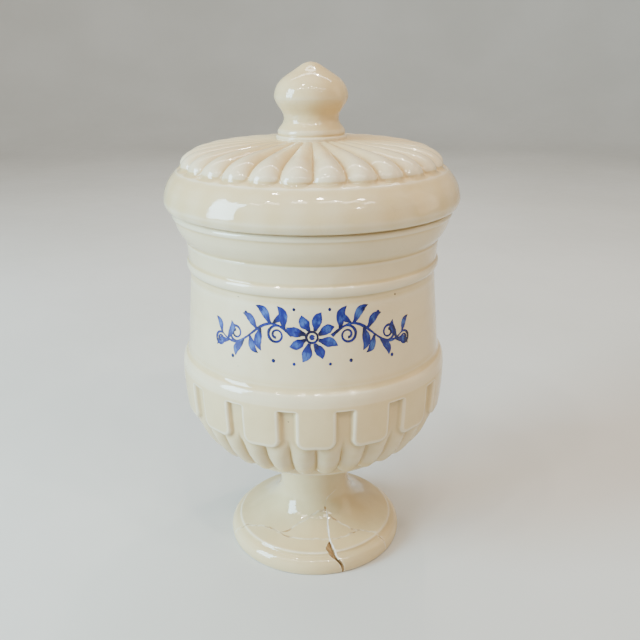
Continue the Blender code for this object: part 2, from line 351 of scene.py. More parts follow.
def make_lid_shell():
    crown = softened(np.vstack([
        [(0.0, CROWN_Z), (19.0, CROWN_Z)],
        curve([(19.0, CROWN_Z), (32.0, 232.0), (46.0, 230.9), (56.0, 229.4), (62.0, 227.4), (66.0, 224.7),
               (68.4, 221.8), (69.3, 219.2)]),
        curve([(69.9, 218.4), (71.6, 216.6), (73.9, 213.6), (75.9, 209.6), (LID_R, 204.6),
               (LID_R - 0.2, 202.2), (75.7, 200.0), (73.8, SEAT_Z + 0.1)]),
        [(73.2, SEAT_Z), (65.4, SEAT_Z), (64.6, SEAT_Z - 0.6), (64.0, SEAT_Z - 8.0)],
        [(63.2, SEAT_Z - 9.2), (60.2, SEAT_Z - 9.2), (59.2, SEAT_Z - 8.2)]]), 0.35)
    underside = softened(np.vstack([
        [(59.2, SEAT_Z - 8.2)],
        curve([(59.4, 200.0), (62.0, 209.0), (59.0, 217.0), (46.0, 224.0), (26.0, 226.4), (0.0, 227.2)])]),
        0.5)
    split = int(np.argmin(np.abs(crown[:, 1] - 216.2) + (crown[:, 0] < 60.0) * 100.0))
    start = int(np.argmin(np.abs(crown[:, 0] - 15.5)))
    lid = Turned(warped_columns(PETAL_COUNT, 24, FIRST_GROOVE_DEG, 0.35))
    lid.add_zone(resampled(crown[:start], 3.0), 6)
    lid.add_zone(resampled(crown[start:split], 0.75), 1, lid_relief)
    lid.add_zone(resampled(crown[split:], 0.5), 2)
    lid.add_zone(resampled(underside, 2.5)[1:], 6)
    return lid.build("lid_shell_glazed")


def make_lid_knob():
    outline = softened(np.vstack([
        curve([(0.0, KNOB_TOP_Z), (3.0, KNOB_TOP_Z - 0.6), (5.9, 267.8), (8.8, 265.9), (11.9, 264.0),
               (14.6, 262.0), (16.7, 259.7), (18.1, 257.1), (KNOB_R, 253.8), (18.3, 251.5), (17.0, 249.1),
               (15.6, 247.1), (14.5, 245.1), (14.05, 243.0), (14.2, 241.6), (15.0, 240.0), (16.1, 238.6)]),
        curve([(16.9, 237.6), (17.3, 236.5), (17.2, 235.4), (16.9, 234.9)], 5),
        [(17.7, 234.7), (18.2, 234.2), (18.2, CROWN_Z - 0.4), (0.0, CROWN_Z - 0.4)]]), 0.22)
    knob = Turned(np.arange(160) * 2.25)
    turn = int(np.argmax(outline[:, 1] < CROWN_Z - 0.35))
    knob.add_zone(resampled(outline[:turn], 0.4))
    knob.add_zone(resampled(outline[turn:], 3.0)[1:], 4)
    return knob.build("lid_knob_glazed")


# ---------------------------------------------------------------- the foot and its mended break

LUTE_TOP_Z = 58.8              # the foot's visible top runs into the bowl's underside
CRACK_TOP = (15.8, 22.9)       # azimuth in degrees, radius
CRACK_MEETING = (12.8, 37.0)
MAIN_CRACK_INNER = [CRACK_TOP, (16.0, 27.2), (14.0, 32.5), CRACK_MEETING]
MAIN_CRACK_OUTER = [CRACK_MEETING, (13.6, 41.0), (14.2, 44.2), (16.3, 49.2), (20.5, 53.0)]
LEFT_ARC_OUTER = [(-72.0, 53.0), (-66.0, 45.0), (-59.0, 40.2), (-51.0, 37.3), (-35.0, 36.2)]
LEFT_ARC_INNER = [(-35.0, 36.2), (-26.0, 36.8), (-8.6, 36.6), (4.8, 36.2), CRACK_MEETING]
RIGHT_ARC_INNER = [CRACK_MEETING, (22.6, 37.7), (35.0, 37.2), (44.7, 38.1)]
RIGHT_ARC_OUTER = [(44.7, 38.1), (52.7, 44.7), (54.0, 53.0)]
UPPER_LEFT_ARC = [(-35.0, 36.2), (-28.2, 34.2), (-21.8, 30.5), (-12.1, 26.5), (4.7, 23.8), CRACK_TOP]
UPPER_RIGHT_ARC = [CRACK_TOP, (19.0, 25.7), (30.4, 30.2), (38.7, 35.4), (44.7, 38.1)]
CLEAR_OF_BRIM_R = 56.0
GLUE_GAP = 0.1
CHIP_DEPTH = 3.0
CHIP_SPAN_R = (37.9, 50.9)     # radii where the chip starts and ends along the main crack
GAP_START_R = 46.5
GAP_WIDTH = 1.0
CUTTER_BOTTOM_Z = -5.0
CUTTER_TOP_Z = 40.0


def bezier(points, steps=24):
    """A cubic curve from its four control points."""
    t = np.linspace(0.0, 1.0, steps)[:, None]
    p = np.array(points, float)
    return ((1 - t) ** 3 * p[0] + 3 * (1 - t) ** 2 * t * p[1] + 3 * (1 - t) * t ** 2 * p[2]
            + t ** 3 * p[3])


def foot_outside():
    """The foot's outline from its join with the bowl down to the floor."""
    brim = curve([(47.2, 9.0), (48.6, 8.0), (49.9, 6.3), (FOOT_R - 0.05, 4.2), (FOOT_R, 2.2),
                  (50.2, 0.5), (49.4, 0.0)], 6)
    return softened(np.vstack([
        [(28.6, LUTE_TOP_Z), (28.3, 58.1)],
        curve([(26.0, 57.3), (23.9, 55.8), (22.0, 53.2), (20.7, 49.4), (20.1, 44.0), (20.0, 38.5)]),
        bezier([(20.0, 33.0), (20.0, 22.0), (33.0, 14.0), (44.6, 11.4)]),
        [(45.4, 11.0), (45.6, 10.0), (46.0, 9.6)], brim]), 0.3)


FOOT_OUTSIDE = foot_outside()
FLARE = FOOT_OUTSIDE[FOOT_OUTSIDE[:, 1] < 33.0]
FLARE = FLARE[:int(np.argmax(FLARE[:, 0])) + 1]


def foot_height(radius):
    """Height of the flare's upper face at a radius."""
    return np.interp(radius, FLARE[:, 0], FLARE[:, 1])


def turned_foot(name):
    hollow = softened(np.vstack([
        [(43.9, 0.0), (43.2, 0.4)],
        curve([(42.6, 1.2), (38.0, 6.0), (26.0, 11.0), (17.0, 19.0), (13.5, 32.0), (12.5, 46.0)]),
        [(11.0, 50.0), (0.0, 51.5)]]), 0.4)
    foot = Turned(np.arange(256) * 360.0 / 256)
    foot.add_zone([(0.0, LUTE_TOP_Z), (14.0, LUTE_TOP_Z)], 4)
    foot.add_zone(resampled(FOOT_OUTSIDE, 0.6))
    foot.add_zone(resampled(hollow, 2.0), 2)
    return foot.build(name)


def flat(polar_points):
    """Points (x, y) from points (azimuth in degrees, radius)."""
    azimuth, radius = np.array(polar_points, float).T
    return around(radius, np.radians(azimuth), 0.0 * radius)[:, :2]


def fracture(polar_points, sway=0.2):
    """A crack that wanders a little from side to side between its ends."""
    line = resampled(curve(flat(polar_points), 10), 0.7)
    drift = np.convolve(rng.normal(0.0, 1.0, len(line) + 4), [0.15, 0.25, 0.2, 0.25, 0.15], "valid")
    ends = np.minimum(np.arange(len(line)), np.arange(len(line))[::-1])
    drift *= np.clip(ends / 4.0, 0.0, 1.0) * sway * 2.2
    return line + drift[:, None] * left_normals(line)


CRACKS = {
    "main_inner": fracture(MAIN_CRACK_INNER),
    "main_outer": fracture(MAIN_CRACK_OUTER),
    "left_outer": fracture(LEFT_ARC_OUTER),
    "left_inner": fracture(LEFT_ARC_INNER),
    "right_inner": fracture(RIGHT_ARC_INNER),
    "right_outer": fracture(RIGHT_ARC_OUTER),
    "upper_left": fracture(UPPER_LEFT_ARC),
    "upper_right": fracture(UPPER_RIGHT_ARC),
}


def beyond_brim(start_deg, end_deg, steps=8):
    angles = np.linspace(start_deg, end_deg, steps)
    return flat([(angle, CLEAR_OF_BRIM_R) for angle in angles])


def chained(*lines):
    return np.vstack([line[:-1] for line in lines])


def shard_outlines():
    c = CRACKS
    return {
        "outer_left": chained(c["main_outer"], beyond_brim(20.5, -72.0), c["left_outer"],
                              c["left_inner"]),
        "outer_right": chained(c["main_outer"][::-1], c["right_inner"], c["right_outer"],
                               beyond_brim(54.0, 20.5)),
        "inner_left": chained(c["main_inner"], c["left_inner"][::-1], c["upper_left"]),
        "inner_right": chained(c["main_inner"][::-1], c["upper_right"], c["right_inner"][::-1]),
    }


def grown(outline, distance):
    """The outline moved outwards by a distance, or inwards if it is negative."""
    before, after = np.roll(outline, 1, axis=0), np.roll(outline, -1, axis=0)
    area = (outline[:, 0] * after[:, 1] - after[:, 0] * outline[:, 1]).sum()
    along = after - before
    normal = np.stack([along[:, 1], -along[:, 0]], axis=1) * np.sign(area)
    normal /= np.linalg.norm(normal, axis=1)[:, None]
    return outline + distance * normal


def prism(name, outline):
    """An upright closed cutter that passes right through the foot's flare and brim."""
    after = np.roll(outline, -1, axis=0)
    if (outline[:, 0] * after[:, 1] - after[:, 0] * outline[:, 1]).sum() < 0.0:
        outline = outline[::-1]
    count = len(outline)
    verts = np.vstack([np.column_stack([outline, np.full(count, z)])
                       for z in (CUTTER_BOTTOM_Z, CUTTER_TOP_Z)]) * MM
    k = np.arange(count)
    sides = np.stack([k, (k + 1) % count, count + (k + 1) % count, count + k], axis=1)
    return mesh_object(name, verts, sides, [list(k[::-1]), list(count + k)])


def chip_cutter():
    """The missing flake beside the main crack: its floor slopes down to the crack and is rough."""
    rows, columns = 44, 15
    right = resampled(CRACKS["main_outer"], 0.2)
    radius = np.hypot(right[:, 0], right[:, 1])
    right = resampled(right[(radius > CHIP_SPAN_R[0]) & (radius < CHIP_SPAN_R[1])], 0.2)
    left = resampled(curve(flat([(12.9, 37.9), (9.8, 40.4), (8.4, 43.0), (11.2, 46.8), (15.6, 49.8),
                                 (18.4, 51.4)]), 10), 0.2)
    along = np.linspace(0.0, 1.0, rows)
    left, right = (np.stack([np.interp(along, np.linspace(0.0, 1.0, len(line)), line[:, k])
                             for k in range(2)], axis=1) for line in (left, right))
    across = np.linspace(0.0, 1.0, columns)[None, :, None]
    grid = left[:, None, :] * (1.0 - across) + right[:, None, :] * across
    slope = across[:, :, 0] ** 0.75 * np.ones((rows, 1))
    rough = rng.normal(0.0, 0.09, (rows, columns))
    depth = CHIP_DEPTH * slope * (0.55 + 0.45 * np.sin(np.pi * along)[:, None]) + rough * slope - 0.05
    top = foot_height(np.hypot(grid[:, :, 0], grid[:, :, 1]))
    floor = np.dstack([grid, top - depth])
    cover = np.dstack([grid, np.full((rows, columns), 0.5 * CUTTER_TOP_Z)])
    return slab("chip_cutter", cover, floor)


def gap_cutter():
    """The open gap that widens from the chip's lower end to the edge of the brim."""
    line = resampled(CRACKS["main_outer"], 0.3)
    line = line[np.hypot(line[:, 0], line[:, 1]) > GAP_START_R]
    aside = left_normals(line) * np.linspace(0.08, GAP_WIDTH, len(line))[:, None]
    return prism("gap_cutter", np.vstack([line + aside, (line - aside * 0.5)[::-1]]))


def slab_arrays(top, bottom):
    """Points and faces of a closed thin body between two grids of points."""
    rows, columns = top.shape[:2]
    verts = np.vstack([top.reshape(-1, 3), bottom.reshape(-1, 3)])
    index = np.arange(rows * columns).reshape(rows, columns)
    a, b, c, d = index[:-1, :-1], index[:-1, 1:], index[1:, 1:], index[1:, :-1]
    upper = np.stack([a, d, c, b], axis=2).reshape(-1, 4)
    border = np.concatenate([index[0, :-1], index[:-1, -1], index[-1, :0:-1], index[:0:-1, 0]])
    after = np.roll(border, -1)
    size = rows * columns
    wall = np.stack([border, after, after + size, border + size], axis=1)
    return verts, np.vstack([upper, upper[:, ::-1] + size, wall])


def slab(name, top, bottom):
    """A closed thin mesh object between two grids of points."""
    verts, faces = slab_arrays(top, bottom)
    body = mesh_object(name, verts * MM, faces)
    face_outwards(body)
    return body


def face_outwards(body):
    mesh = bmesh.new()
    mesh.from_mesh(body.data)
    bmesh.ops.recalc_face_normals(mesh, faces=mesh.faces)
    mesh.to_mesh(body.data)
    mesh.free()


def cut(body, cutter, operation):
    """Cuts the body at once; faces that the cutter makes take the second material."""
    step = body.modifiers.new(operation, "BOOLEAN")
    step.operation = operation
    step.solver = "MANIFOLD"
    step.object = cutter
    depsgraph = bpy.context.evaluated_depsgraph_get()
    old = body.data
    body.data = bpy.data.meshes.new_from_object(body.evaluated_get(depsgraph))
    body.modifiers.clear()
    bpy.data.meshes.remove(old)


def discard(body):
    data = body.data
    bpy.data.objects.remove(body)
    bpy.data.meshes.remove(data)


def two_slots(body, index):
    """Gives a body the glaze and the fracture material, and puts its faces on one of them."""
    body.data.materials.append(GLAZE)
    body.data.materials.append(FRACTURE)
    body.data.polygons.foreach_set("material_index", np.full(len(body.data.polygons), index, np.int32))


def cut_along(body, name, outline, operation):
    """Cuts the body with an upright prism; the new faces show the broken clay."""
    cutter = prism(name, outline)
    two_slots(cutter, 1)
    cut(body, cutter, operation)
    discard(cutter)


def make_foot():
    """The foot and the four fragments that were glued back into it."""
    foot = turned_foot("pedestal_foot_glazed")
    two_slots(foot, 0)
    whole = foot.data.copy()
    chip = chip_cutter()
    gap = gap_cutter()
    for cutter in (chip, gap):
        two_slots(cutter, 1)
    shards = {}
    for place, outline in shard_outlines().items():
        cut_along(foot, "hole_" + place, grown(outline, GLUE_GAP / 2), "DIFFERENCE")
        shard = bpy.data.objects.new("foot_shard_" + place + "_glazed", whole.copy())
        bpy.context.scene.collection.objects.link(shard)
        cut_along(shard, "keep_" + place, grown(outline, -GLUE_GAP / 2), "INTERSECT")
        if place.startswith("outer"):
            cut(shard, chip, "DIFFERENCE")
            cut(shard, gap, "DIFFERENCE")
        shards[place] = shard
    discard(chip)
    discard(gap)
    bpy.data.meshes.remove(whole)
    return foot, shards


# ---------------------------------------------------------------- strokes that lie on a surface

WALL_R = 66.6                  # turns a distance round the wall into an angle


def on_wall(points, lift):
    """Points (distance round the wall, height) on the bowl's plain wall."""
    radius = bowl_wall_radius(points[..., 1]) + lift
    return around(radius, points[..., 0] / WALL_R, points[..., 1])


def on_flare(points, lift):
    """Points (x, y) on the upper face of the foot's flare."""
    radius = np.hypot(points[..., 0], points[..., 1])
    return np.concatenate([points, (foot_height(radius) + lift)[..., None]], axis=-1)


class Strokes:
    """Thin closed strokes on one surface, gathered into one mesh."""

    def __init__(self, surface, thickness=0.05, spacing=0.35):
        self.surface = surface
        self.thickness = thickness
        self.spacing = spacing
        self.verts = []
        self.faces = []
        self.density = []
        self.layer = 0

    def add(self, line, widths, density=0.6, wobble=0.06, sections=7):
        """One stroke along a line; widths and density are given from start to end."""
        centre = resampled(line, self.spacing)
        along = np.linspace(0.0, 1.0, len(centre))
        width = np.interp(along, np.linspace(0.0, 1.0, len(widths)), widths)
        density = np.interp(along, np.linspace(0.0, 1.0, np.size(density)), np.atleast_1d(density))
        normal = left_normals(centre)
        noise = rng.normal(0.0, 1.0, (2, len(centre) + 4))
        noise = np.stack([np.convolve(row, [0.1, 0.25, 0.3, 0.25, 0.1], "valid") for row in noise])
        width = np.maximum(width * (1.0 + wobble * noise[0]), 0.05)
        centre = centre + normal * (wobble * 0.5 * noise[1])[:, None]
        across = np.sin(np.linspace(-0.5, 0.5, sections) * np.pi)
        grid = centre[:, None, :] + normal[:, None, :] * (0.5 * width[:, None] * across)[:, :, None]
        lift = self.thickness * (1.0 - 0.6 * np.abs(across) ** 3) + 0.004 * (self.layer % 12)
        top = self.surface(grid, lift[None, :])
        bottom = self.surface(grid, np.full_like(lift, -0.25)[None, :])
        verts, faces = slab_arrays(top, bottom)
        offset = sum(len(block) for block in self.verts)
        self.verts.append(verts)
        self.faces.append(faces + offset)
        edge = 0.22 * np.abs(across) ** 4
        value = np.clip(density[:, None] + edge[None, :], 0.0, 1.0).reshape(-1)
        self.density.append(np.tile(value, 2))
        self.layer += 1

    def build(self, name, material):
        body = mesh_object(name, np.vstack(self.verts) * MM, np.vstack(self.faces))
        add_attribute(body, "paint_load", np.concatenate(self.density))
        face_outwards(body)
        finish_piece(body, "jar", [material])


# ---------------------------------------------------------------- the painted garland

GARLAND_Z = 148.6
GARLAND_STRETCH = (1.24, 1.28)  # how far the drawing below is spread along and up the wall

# One half of the drawing, in places from the middle of the garland along and up
SCROLLS = (                     # place along, radius, which way it curls
    (11.5, 3.7, 1), (29.0, 3.5, -1), (37.5, 2.8, 1))
LEAVES = (                      # place along, angle, length, width, load of paint from root to tip
    (10.5, 66.0, 9.6, 3.5, (0.95, 0.2, 0.7)), (15.0, 118.0, 7.0, 2.6, (1.0, 0.4, 0.4)),
    (15.8, 40.0, 9.4, 3.2, (0.8, 0.15, 0.9)), (20.5, -100.0, 9.6, 3.4, (1.0, 0.3, 0.7)),
    (21.5, 34.0, 8.6, 3.0, (0.8, 0.2, 0.8)), (25.0, -126.0, 8.0, 2.9, (0.85, 0.2, 0.9)),
    (27.5, -70.0, 8.6, 3.0, (1.0, 0.3, 0.6)), (34.5, -34.0, 8.0, 2.7, (0.9, 0.25, 0.8)),
    (35.0, 96.0, 8.2, 2.9, (1.0, 0.25, 0.7)), (38.0, 52.0, 7.4, 2.6, (0.7, 0.2, 0.9)))
BERRIES = (                     # place along and up, size
    (20.0, 9.6, 2.2), (26.5, 7.6, 1.8), (14.8, -9.6, 1.9), (32.6, -10.4, 1.9),
    (6.8, 10.4, 1.6), (6.8, -10.4, 1.6))


def leaf(strokes, root, angle_deg, length, width, density, bend=0.25):
    """A teardrop leaf, narrow at its root and pointed at its tip, with a dark vein down it."""
    angle = math.radians(angle_deg)
    along = np.array([math.cos(angle), math.sin(angle)])
    aside = np.array([-along[1], along[0]])
    t = np.linspace(0.0, 1.0, 14)[:, None]
    line = np.array(root) + along * t * length + aside * bend * length * np.sin(t * math.pi * 0.75) ** 2
    strokes.add(line, width * np.array([0.3, 0.5, 0.85, 1.0, 0.92, 0.55, 0.05]), density)
    strokes.add(line[1:11], [0.5, 0.45, 0.15], 1.1, 0.1, 5)


def berry(strokes, place, size):
    """A small round dab of the brush."""
    t = np.linspace(-1.0, 1.0, 9)
    line = np.array(place) + np.stack([0.5 * size * t, 0.08 * size * t], axis=1)
    strokes.add(line, 0.05 + size * np.sqrt(1.0 - t ** 2), [0.6, 1.0])


def wave_height(x):
    """Height of the running stem above the middle of the garland."""
    return 4.6 * math.sin((x - 7.0) / 34.0 * 2.0 * math.pi)


def side_of_garland(stems, leaves, side):
    """One half of the garland; side is -1 for the left and 1 for the right."""
    def place(x, z):
        return (side * x * GARLAND_STRETCH[0], GARLAND_Z + z * GARLAND_STRETCH[1])

    wave = [place(x, wave_height(x)) for x in np.linspace(7.5, 38.0, 24)]
    stems.add(curve(wave, 3), [1.9, 1.0, 1.6, 0.9, 1.5, 0.7], [0.9, 0.45, 0.8, 0.4, 0.9])
    for x, radius, turn in SCROLLS:
        theta = np.linspace(0.0, 1.6 * 2.0 * math.pi, 40)
        size = radius * (1.0 - 0.74 * theta / theta[-1])
        centre = (x + 0.6 * radius, wave_height(x) - turn * 0.8 * radius)
        spiral = [place(centre[0] + s * math.cos(2.2 - a), centre[1] + turn * s * math.sin(2.2 - a))
                  for a, s in zip(theta, size)]
        stems.add(curve(spiral, 2), [0.8, 1.5, 1.3, 0.9, 1.4], [0.45, 0.9, 0.5, 1.0])
    for x, angle, length, width, density in LEAVES:
        shown = angle if side > 0 else 180.0 - angle
        leaf(leaves, place(x, wave_height(x)), shown, length * 1.2, width * 1.25, density, 0.2 * side)
    for x, z, size in BERRIES:
        berry(leaves, place(x, z), size)


def rosette(strokes):
    """The eight-petalled flower in the middle, drawn in outline with a filled heart."""
    centre = np.array([0.0, GARLAND_Z])
    for k in range(8):
        angle = 360.0 / 8 * k + 22.5
        outward = np.array([math.cos(math.radians(angle)), math.sin(math.radians(angle))])
        length = 9.6 if k % 2 else 8.4
        leaf(strokes, centre + 3.3 * outward, angle, length, 4.9, (0.95, 0.35, 0.55), 0.1)
    angles = np.linspace(0.0, 2.0 * math.pi, 30)
    ring = centre + 2.7 * np.stack([np.cos(angles), np.sin(angles)], axis=1)
    strokes.add(ring, [1.0, 1.3, 1.0], 0.95)
    heart = centre + 0.6 * np.stack([np.cos(angles), np.sin(angles)], axis=1)
    strokes.add(heart, [1.6], 0.7)


def make_garland():
    stems = Strokes(on_wall)
    leaves = Strokes(on_wall)
    flower = Strokes(on_wall)
    for side in (-1, 1):
        side_of_garland(stems, leaves, side)
    rosette(flower)
    stems.build("garland_stems", COBALT)
    leaves.build("garland_leaves", COBALT)
    flower.build("garland_rosette", COBALT)


def on_stem(points, lift):
    """Points (azimuth in degrees, height) on the stem and the top of its flare."""
    order = FOOT_OUTSIDE[::-1]
    radius = np.interp(points[..., 1], order[:, 1], order[:, 0]) + lift
    return around(radius, np.radians(points[..., 0]), points[..., 1])


def make_mend_marks():
    """Old glue along the breaks, the pale raw edge of the main crack, and a hairline up the stem."""
    glue = Strokes(on_flare, 0.03, 0.5)
    for name in ("left_outer", "left_inner", "right_inner", "right_outer", "upper_left", "upper_right"):
        line = CRACKS[name]
        line = line[np.hypot(line[:, 0], line[:, 1]) < 50.0]
        glue.add(line, [0.5, 0.9, 0.55, 0.95, 0.5], [0.35, 0.7, 0.2, 0.65, 0.4], 0.25, 5)
    spot = flat([CRACK_TOP])[0]
    glue.add(spot + np.array([(-0.5, 0.7), (0.1, 0.2), (0.4, -0.6)]), [0.7, 1.5, 0.6], 1.0, 0.2)
    raw = Strokes(on_flare, 0.06, 0.4)
    line = np.vstack([CRACKS["main_inner"], CRACKS["main_outer"][1:]])
    line = line[np.hypot(line[:, 0], line[:, 1]) < 48.6]
    raw.add(line + np.array([0.38, 0.05]), [0.3, 0.7, 0.6, 0.9, 0.8], [0.4, 0.6], 0.15, 5)
    hairline = Strokes(on_stem, 0.02, 0.6)
    climb = curve([(16.0, 25.6), (20.8, 29.8), (31.0, 32.0), (38.9, 33.4)])
    hairline.add(climb, [0.9, 0.6, 0.3], 0.25, 0.1, 5)
    glue.build("glue_lines", GLUE)
    raw.build("crack_raw_edge", CHALK)
    hairline.build("stem_hairline", GLUE)


def in_slot(points, lift):
    """Points (distance from the slot's middle, height) on the floor of the slot left of the front."""
    radius = TAB_FACE_R - TAB_DROP - SLOT_EXTRA + lift
    return around(radius, math.radians(FIRST_SLOT_DEG) + points[..., 0] / radius, points[..., 1])


def make_pinholes():
    """Three pits where the glaze drew back from the clay and dirt has settled."""
    slot_pit = Strokes(in_slot, 0.03, 0.1)
    berry(slot_pit, (0.3, 105.8), 0.75)
    wall_pits = Strokes(on_wall, 0.03, 0.1)
    berry(wall_pits, (-37.5, 165.2), 0.5)
    berry(wall_pits, (43.4, 165.0), 0.85)
    slot_pit.build("slot_pinhole", GRIME)
    wall_pits.build("wall_pinholes", GRIME)


# ---------------------------------------------------------------- materials

def rgb(red, green, blue):
    """A shader colour from a 0-255 screen colour."""
    return tuple(((c / 255.0 + 0.055) / 1.055) ** 2.4 for c in (red, green, blue)) + (1.0,)


class Nodes:
    """Short ways to make and join shader nodes."""

    def __init__(self, name):
        self.material = bpy.data.materials.new(name)
        self.material.use_nodes = True
        self.tree = self.material.node_tree
        self.shader = self.tree.nodes["Principled BSDF"]
        self.place = self.node("ShaderNodeTexCoord").outputs["Object"]

    def node(self, kind, **settings):
        made = self.tree.nodes.new(kind)
        for key, value in settings.items():
            setattr(made, key, value)
        return made

    def feed(self, value, socket):
        if isinstance(value, bpy.types.NodeSocket):
            self.tree.links.new(value, socket)
        else:
            socket.default_value = value

    def noise(self, scale, detail=3.0, rough=0.5, stretch=None):
        made = self.node("ShaderNodeTexNoise")
        place = self.place
        if stretch:
            mapping = self.node("ShaderNodeMapping")
            mapping.inputs["Scale"].default_value = stretch
            self.feed(self.place, mapping.inputs["Vector"])
            place = mapping.outputs[0]
        self.feed(place, made.inputs["Vector"])
        made.inputs["Scale"].default_value = scale
        made.inputs["Detail"].default_value = detail
        made.inputs["Roughness"].default_value = rough
        return made.outputs["Fac"]

    def cells(self, scale, feature, output="Distance"):
        made = self.node("ShaderNodeTexVoronoi", feature=feature)
        self.feed(self.place, made.inputs["Vector"])
        made.inputs["Scale"].default_value = scale
        return made.outputs[output]

    def spread(self, value, low, high, to_low=0.0, to_high=1.0):
        made = self.node("ShaderNodeMapRange", interpolation_type="SMOOTHSTEP")
        for socket, number in zip(("Value", "From Min", "From Max", "To Min", "To Max"),
                                  (value, low, high, to_low, to_high)):
            self.feed(number, made.inputs[socket])
        return made.outputs[0]

    def math(self, operation, first, second=0.5):
        made = self.node("ShaderNodeMath", operation=operation)
        self.feed(first, made.inputs[0])
        self.feed(second, made.inputs[1])
        return made.outputs[0]

    def mix(self, factor, first, second):
        made = self.node("ShaderNodeMix", data_type="RGBA")
        for index, value in ((0, factor), (6, first), (7, second)):
            self.feed(value, made.inputs[index])
        return made.outputs[2]

    def attribute(self, name):
        return self.node("ShaderNodeAttribute", attribute_name=name).outputs["Fac"]

    def bump(self, height, distance, strength=1.0, normal=None):
        made = self.node("ShaderNodeBump")
        made.inputs["Distance"].default_value = distance
        made.inputs["Strength"].default_value = strength
        self.feed(height, made.inputs["Height"])
        if normal is not None:
            self.feed(normal, made.inputs["Normal"])
        return made.outputs[0]

    def finish(self, colour, roughness, normal):
        self.feed(colour, self.shader.inputs["Base Color"])
        self.feed(roughness, self.shader.inputs["Roughness"])
        self.feed(normal, self.shader.inputs["Normal"])
        self.shader.inputs["IOR"].default_value = 1.5
        return self.material


def glaze_skin(n):
    """The glaze's slow ripple, faint turning lines and fine grain, also over what lies under it."""
    ripple = n.bump(n.noise(30.0, 2.0, 0.45), 0.0016, 0.5)
    ripple = n.bump(n.noise(130.0, 2.0, 0.5), 0.0003, 0.5, ripple)
    turning = n.bump(n.noise(330.0, 2.0, 0.5, (0.03, 0.03, 1.0)), 0.00012, 0.5, ripple)
    return n.bump(n.noise(900.0, 2.0, 0.5), 0.00002, 0.35, turning)


def glaze_material():
    n = Nodes("cream_tin_glaze")
    broad = n.noise(9.0, 3.0)
    fine = n.noise(60.0, 4.0, 0.6)
    body = n.mix(n.spread(broad, 0.3, 0.7), rgb(222, 198, 151), rgb(211, 183, 133))
    body = n.mix(n.spread(fine, 0.35, 0.75, 0.0, 0.35), body, rgb(200, 170, 120))
    # Painted shade: the cream turns darker and warmer in hollows of the surface.
    painted_hollow_shade = n.spread(n.attribute("hollowness"), 0.51, 1.0, 0.0, 0.55)
    # Painted highlight: the cream turns paler on crests and rounded edges.
    painted_crest_highlight = n.spread(n.attribute("hollowness"), 0.48, 0.1, 0.0, 0.45)
    body = n.mix(painted_hollow_shade, body, rgb(192, 164, 116))
    # Painted shade: darker, warmer cream the deeper a place lies below the face of the relief, in slots and
    # between gadroons.
    body = n.mix(n.spread(n.attribute("recess"), 0.2, 0.9, 0.0, 0.5), body, rgb(198, 168, 118))
    body = n.mix(painted_crest_highlight, body, rgb(236, 226, 202))
    craze = n.spread(n.cells(170.0, "DISTANCE_TO_EDGE"), 0.0, 0.035, 1.0, 0.0)
    craze = n.math("MULTIPLY", craze, n.spread(n.noise(22.0), 0.52, 0.72, 0.0, 0.22))
    body = n.mix(craze, body, rgb(168, 148, 112))
    chosen = n.spread(n.cells(260.0, "F1", "Color"), 0.84, 0.86)
    pinhole = n.math("MULTIPLY", n.spread(n.cells(260.0, "F1"), 0.05, 0.11, 1.0, 0.0), chosen)
    pinhole = n.math("MULTIPLY", pinhole, n.spread(n.noise(40.0, 1.0), 0.56, 0.6))
    body = n.mix(pinhole, body, rgb(120, 98, 70))
    roughness = n.spread(n.noise(34.0, 4.0, 0.6), 0.3, 0.75, 0.035, 0.1)
    return n.finish(body, roughness, glaze_skin(n))


def cobalt_material():
    n = Nodes("cobalt_brushwork")
    density = n.attribute("paint_load")
    streak = n.noise(420.0, 3.0, 0.6, (1.0, 1.0, 0.5))
    blotch = n.noise(150.0, 2.0)
    loaded = n.math("ADD", density, n.spread(streak, 0.25, 0.75, -0.22, 0.22))
    loaded = n.math("ADD", loaded, n.spread(blotch, 0.3, 0.7, -0.16, 0.16))
    light = n.mix(n.spread(loaded, 0.1, 0.55), rgb(64, 94, 158), rgb(24, 32, 116))
    dark = n.mix(n.spread(loaded, 0.55, 1.05), light, rgb(8, 4, 52))
    return n.finish(dark, n.spread(streak, 0.3, 0.7, 0.07, 0.14), glaze_skin(n))


def fracture_material():
    n = Nodes("raw_earthenware_break")
    tone = n.mix(n.spread(n.noise(500.0, 4.0, 0.6), 0.3, 0.7), rgb(190, 160, 116), rgb(150, 114, 72))
    tone = n.mix(n.spread(n.noise(120.0, 3.0), 0.45, 0.75, 0.0, 0.6), tone, rgb(104, 70, 38))
    return n.finish(tone, n.spread(n.noise(700.0), 0.3, 0.7, 0.6, 0.9),
                    n.bump(n.noise(1400.0, 5.0, 0.65), 0.00025, 0.6))


def chalk_material():
    n = Nodes("white_broken_edge")
    tone = n.mix(n.spread(n.noise(400.0, 3.0), 0.35, 0.7), rgb(252, 250, 243), rgb(232, 220, 192))
    return n.finish(tone, n.spread(n.noise(700.0), 0.3, 0.7, 0.4, 0.7),
                    n.bump(n.noise(1400.0), 0.0002, 0.5))


def glue_material():
    n = Nodes("aged_glue")
    fade = n.math("ADD", n.attribute("paint_load"), n.spread(n.noise(180.0, 3.0), 0.3, 0.7, -0.5, 0.3))
    tone = n.mix(n.spread(fade, 0.0, 1.1), rgb(224, 208, 172), rgb(168, 128, 78))
    return n.finish(tone, n.spread(n.noise(300.0), 0.3, 0.7, 0.15, 0.35), glaze_skin(n))


def grime_material():
    n = Nodes("settled_grime")
    tone = n.mix(n.spread(n.noise(800.0), 0.3, 0.7), rgb(70, 50, 34), rgb(96, 74, 52))
    return n.finish(tone, n.spread(n.noise(900.0), 0.3, 0.7, 0.5, 0.8),
                    n.bump(n.noise(1500.0), 0.0001, 0.4))


def floor_material():
    n = Nodes("pale_studio_floor")
    tone = n.mix(n.spread(n.noise(3.0, 3.0), 0.3, 0.7), rgb(208, 204, 197), rgb(201, 197, 189))
    return n.finish(tone, n.spread(n.noise(40.0), 0.3, 0.7, 0.55, 0.7),
                    n.bump(n.noise(900.0), 0.00005, 0.2))


